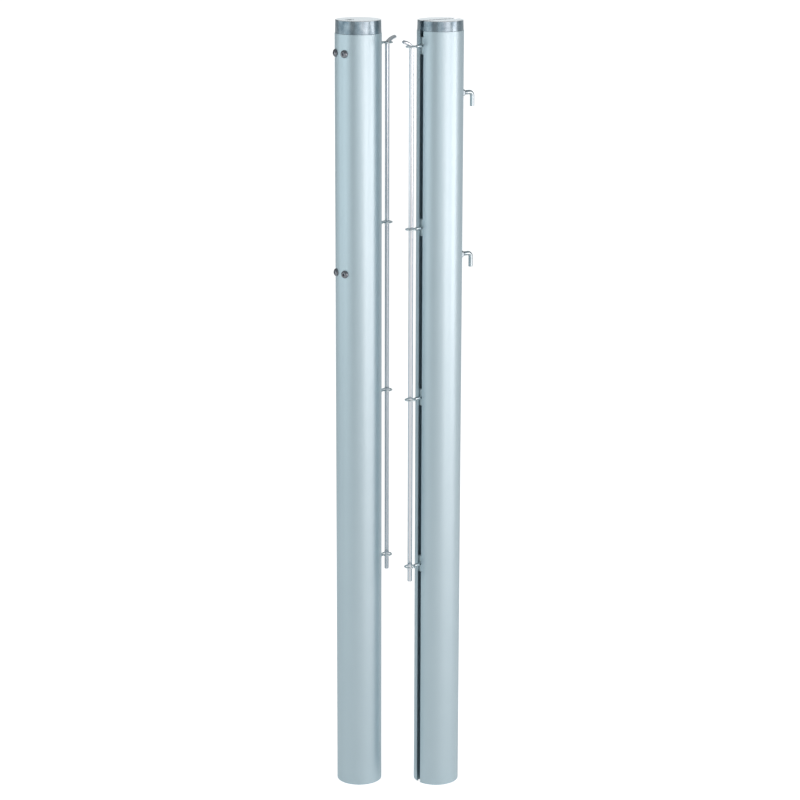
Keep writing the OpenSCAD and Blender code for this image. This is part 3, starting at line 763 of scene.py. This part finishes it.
def make_dome_screw():
    """One screw along +Z, its head's seat at the origin's height."""
    head_radius, edge, dome_height, half_height = 7 * MM, 0.7 * MM, 4.4 * MM, 4.38 * MM
    dome_steps = 10
    outline = [(-12 * MM, 0), (-12 * MM, 3.4 * MM), (-11.4 * MM, 4 * MM), (0, 4 * MM),
               (0, head_radius - 0.25 * MM), (0.2 * MM, head_radius), (edge, head_radius)]
    for step in range(1, dome_steps + 1):
        height = edge + (dome_height - edge) * step / dome_steps
        outline.append((height, head_radius * math.sqrt(1 - ((height - edge) / half_height) ** 2)))
    outline.append((dome_height, 0))
    screw = lathe("dome_screw", outline, steps=64)
    cut_with(screw, hexagon_bar("key", 5 * MM, 4 * MM, foot=dome_height - 2.9 * MM))
    return screw


def make_dome_screws():
    pattern = make_dome_screw()
    screws = []
    for height in SCREW_HEIGHTS:
        for turn in (-SCREW_TURN, SCREW_TURN):
            way = Vector((-math.cos(turn), math.sin(turn), 0))
            seat = on_tension_post(0, 0, height) + way * TUBE_RADIUS
            screws.append(settle(new_copy(pattern, "dome_screw_one"), seat, way))
    bpy.data.objects.remove(pattern)
    all_screws = join("dome_screws", screws)
    smooth(all_screws, 28)
    dress(all_screws, "posts", "slider_steel", "block_screws", finish=dark_steel)


make_dome_screws()

# The spindle, with its left-handed thread

SPINDLE_OUT = -19 * MM
SPINDLE_THREAD = (986.5 * MM, 1340.5 * MM)
SPINDLE_PITCH, SPINDLE_ROOT, SPINDLE_CREST = 4 * MM, 5.85 * MM, 7.93 * MM
SPINDLE_BREAK = 0.4 * MM
SPINDLE_FLANGE = 5 * MM
FLANGE_RADIUS = 10 * MM
PIN_HEIGHT = 1385 * MM
PIN_HOLE_RADIUS = 2.05 * MM


def make_spindle():
    low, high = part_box("spindle")
    foot = low.z
    top = high.z - foot
    thread_low, thread_high = (height - foot for height in SPINDLE_THREAD)
    flange_top = thread_high + SPINDLE_FLANGE
    undercut, undercut_radius = thread_high - 2 * MM, SPINDLE_ROOT - SPINDLE_BREAK
    core = lathe("spindle_core", [
        (0, 0), (0, 4.4 * MM), (0.6 * MM, 5 * MM), (thread_low, 5 * MM),
        (thread_low, SPINDLE_ROOT), (undercut, SPINDLE_ROOT), (undercut, undercut_radius),
        (thread_high, undercut_radius), (thread_high, FLANGE_RADIUS - SPINDLE_BREAK),
        (thread_high + SPINDLE_BREAK, FLANGE_RADIUS), (flange_top - SPINDLE_BREAK, FLANGE_RADIUS),
        (flange_top, FLANGE_RADIUS - SPINDLE_BREAK), (flange_top, 6 * MM), (top - 0.6 * MM, 6 * MM),
        (top, 5.4 * MM), (top, 0)])
    deselect_all()
    bpy.ops.mesh.primitive_cylinder_add(
        vertices=32, radius=PIN_HOLE_RADIUS, depth=30 * MM, location=(0, 0, PIN_HEIGHT - foot),
        rotation=(math.pi / 2, 0, 0))
    cut_with(core, named("pin_drill"))
    smooth(core)
    turns = int((thread_high - thread_low - 5 * MM) / SPINDLE_PITCH)
    thread = ridge("spindle_thread", SPINDLE_ROOT - 0.1 * MM, SPINDLE_CREST, 1.27 * MM, 0.73 * MM,
                   SPINDLE_PITCH, turns, left_handed=True, steps=32)
    raised(thread, thread_low + 1.6 * MM)
    smooth(thread, 20)
    spindle = join("threaded_spindle", [core, thread])
    settle(spindle, on_tension_post(SPINDLE_OUT, 0, foot))
    dress(spindle, "spindle_set", "spindle_steel", "spindle")


make_spindle()

# The solids whose own shape is right: their edges broken as a file or a tumbling drum leaves them.
# Each has its CAD solid, its piece's name, its body and the width of its broken edges in mm.

EASED = [
    ("anchor_cap", "anchor_post_cap", "posts", 0.35),
    ("tension_cap", "tension_post_cap", "posts", 0.35),
    ("upper_bearing_block", "upper_block", "posts", 0.4),
    ("lower_bearing_block", "lower_block", "posts", 0.4),
    ("tension_carriage", "carriage", "carriage_set", 0.4),
    ("carriage_nut", "nut_of_carriage", "carriage_set", 0.25),
    ("crank_socket", "socket_for_crank", "spindle_set", 0.25),
    ("spindle_lock_nut", "end_nut", "spindle_set", 0.3),
    ("hook_rivet_nuts", "closed_rivet_nuts", "posts", 0.2),
]
EASED += [("%s_slider_%d" % (post_name, number), "t_nut_%s_%d" % (post_name, number),
           "%s_eyelet_set_%d" % (post_name, number), 0.45)
          for post_name in POSTS for number in EYELET_NUMBERS]

FLAT_WITHIN = math.radians(0.4)
EDGE_FROM = math.radians(35)


def eased_copy(node_name, name, width):
    """The CAD solid again, its triangles merged to plain faces and its edges broken."""
    piece = new_copy(nodes[node_name], name)
    piece.data.name = name
    enter(piece)
    bpy.ops.mesh.select_all(action="SELECT")
    bpy.ops.mesh.customdata_custom_splitnormals_clear()
    bpy.ops.mesh.remove_doubles(threshold=2e-6)
    bpy.ops.mesh.dissolve_limited(angle_limit=FLAT_WITHIN)
    leave()
    apply_modifier(piece, "BEVEL", width=width, segments=2, limit_method="ANGLE",
                   angle_limit=EDGE_FROM, use_clamp_overlap=False)
    smooth(piece, 34)
    apply_modifier(piece, "WEIGHTED_NORMAL", mode="FACE_AREA", weight=50, keep_sharp=True)
    return piece


for node_name, piece_name, body_name, edge_width in EASED:
    eased = eased_copy(node_name, piece_name, edge_width * MM)
    dress(eased, body_name, slot_of[node_name], node_name)

# The studio

FLOOR_RADIUS = 60
# How brightly the floor glows for the camera and in the metal's reflections
FLOOR_SHOWN = 0.84
FLOOR_REFLECTED = 0.31


def make_floor():
    """A white floor that shows as plain white to the camera, and keeps the posts' shadow."""
    deselect_all()
    bpy.ops.mesh.primitive_circle_add(
        vertices=96, radius=FLOOR_RADIUS, fill_type="NGON", location=(0, 0, 0))
    floor = bpy.context.active_object
    floor.name = "studio_floor"
    material, tree = new_material("studio_floor_paint")
    paths = node(tree, "ShaderNodeLightPath").outputs
    mirrored = maths(tree, "MAXIMUM", paths["Is Glossy Ray"], paths["Is Transmission Ray"])
    reflected = maths(tree, "MULTIPLY", mirrored, FLOOR_REFLECTED)
    shown = maths(tree, "MULTIPLY", paths["Is Camera Ray"], FLOOR_SHOWN)
    fill(tree, tree.nodes["Principled BSDF"], {
        "Base Color": (0.8, 0.8, 0.8, 1), "Roughness": 0.9, "Specular IOR Level": 0.0,
        "Emission Color": (1, 1, 1, 1), "Emission Strength": maths(tree, "ADD", shown, reflected)})
    floor.data.materials.append(material)


# The studio's brightness all round: degrees from the camera's side towards the photo's right
STUDIO_ROUND = [(-180, 1.0), (-166, 0.10), (-112, 0.06), (-22, 0.06), (22, 0.14),
                (68, 0.82), (112, 0.10), (150, 0.60), (168, 0.60), (180, 1.0)]
STUDIO_TINT = (0.94, 1.0, 1.03)
# Its ceiling, and the heights of a direction between which the walls pass into it
STUDIO_OVERHEAD = (0.31, 0.33, 0.34)
OVERHEAD_FROM, OVERHEAD_TO = 0.12, 0.75


def make_world():
    """White behind the object; a pale studio, dimmer on the camera's side, for its reflections."""
    world = bpy.data.worlds.new("studio")
    bpy.context.scene.world = world
    world.use_nodes = True
    tree = world.node_tree
    tree.nodes.clear()
    direction = node(tree, "ShaderNodeTexCoord").outputs["Generated"]
    turned = node(tree, "ShaderNodeMapping", {
        "Vector": direction, "Rotation": (0, 0, -PHOTO_TURN)}, vector_type="VECTOR")
    split = node(tree, "ShaderNodeSeparateXYZ", {"Vector": turned.outputs["Vector"]}).outputs
    angle = maths(tree, "ARCTAN2", split["X"], maths(tree, "MULTIPLY", split["Y"], -1.0))
    round_share = node(tree, "ShaderNodeMapRange", {
        "Value": angle, "From Min": -math.pi, "From Max": math.pi})
    ramp = node(tree, "ShaderNodeValToRGB", {"Fac": round_share.outputs["Result"]})
    while len(ramp.color_ramp.elements) < len(STUDIO_ROUND):
        ramp.color_ramp.elements.new(0.5)
    for element, (degrees, level) in zip(ramp.color_ramp.elements, STUDIO_ROUND):
        element.position = degrees / 360 + 0.5
        element.color = opaque(level * share for share in STUDIO_TINT)
    overhead = node(tree, "ShaderNodeMapRange", {
        "Value": split["Z"], "From Min": OVERHEAD_FROM, "From Max": OVERHEAD_TO},
        interpolation_type="SMOOTHSTEP")
    walls_and_ceiling = blend_colours(
        tree, overhead.outputs["Result"], ramp.outputs["Color"], opaque(STUDIO_OVERHEAD))
    studio = node(tree, "ShaderNodeBackground", {"Color": walls_and_ceiling})
    white = node(tree, "ShaderNodeBackground", {"Color": (1, 1, 1, 1)})
    paths = node(tree, "ShaderNodeLightPath").outputs
    either = node(tree, "ShaderNodeMixShader", {
        "Fac": paths["Is Camera Ray"], 1: studio.outputs["Background"],
        2: white.outputs["Background"]})
    node(tree, "ShaderNodeOutputWorld", {"Surface": either.outputs["Shader"]})


COOL = (0.93, 1.0, 1.03)
WARM = (1.09, 0.955, 0.935)
SOFTBOX_DISTANCE = 2.6
# Each lamp's degrees from the camera's side towards the photo's right, height, width and height
# of its face, power and colour
SOFTBOXES = [
    ("left_back_softbox", -95, 1.3, 1.5, 1.9, 5.2, COOL),
    ("left_softbox", -60, 1.3, 1.5, 1.9, 7.0, COOL),
    ("front_fill", 0, 1.6, 1.2, 1.9, 3.9, COOL),
    ("key_upper", 20, 1.6, 1.0, 1.7, 4.9, WARM),
    ("key_lower", 40, 0.9, 1.0, 1.4, 8.1, WARM),
    ("right_softbox", 75, 0.9, 1.0, 1.4, 9.8, WARM),
]


def add_softbox(name, turn_degrees, height, width, tall, power, colour):
    """A lamp with a soft rectangular face, aimed level at the pair."""
    data = bpy.data.lights.new(name, "AREA")
    data.shape = "RECTANGLE"
    data.size = width
    data.size_y = tall
    data.energy = power
    data.color = colour
    lamp = bpy.data.objects.new(name, data)
    bpy.context.scene.collection.objects.link(lamp)
    way = photo_direction(math.radians(turn_degrees))
    lamp.location = pair_middle + way * SOFTBOX_DISTANCE + Vector((0, 0, height))
    lamp.rotation_mode = "QUATERNION"
    lamp.rotation_quaternion = way.to_track_quat("Z", "Y")
    lamp.visible_camera = False


def make_camera():
    data = bpy.data.cameras.new("camera")
    data.sensor_width = SENSOR_WIDTH
    data.lens = FOCAL_PIXELS / IMAGE_PIXELS * data.sensor_width
    camera = bpy.data.objects.new("camera", data)
    bpy.context.scene.collection.objects.link(camera)
    camera.location = (
        pair_middle + photo_direction(0) * CAMERA_DISTANCE + Vector((0, 0, CAMERA_HEIGHT)))
    camera.rotation_mode = "QUATERNION"
    camera.rotation_quaternion = (
        Quaternion((0, 0, 1), PHOTO_TURN + CAMERA_YAW)
        @ Quaternion((1, 0, 0), math.pi / 2 - CAMERA_PITCH)
        @ Quaternion((0, 0, 1), CAMERA_ROLL))
    bpy.context.scene.camera = camera


make_floor()
make_world()
for softbox in SOFTBOXES:
    add_softbox(*softbox)
make_camera()
bpy.context.scene.view_settings.view_transform = "Standard"
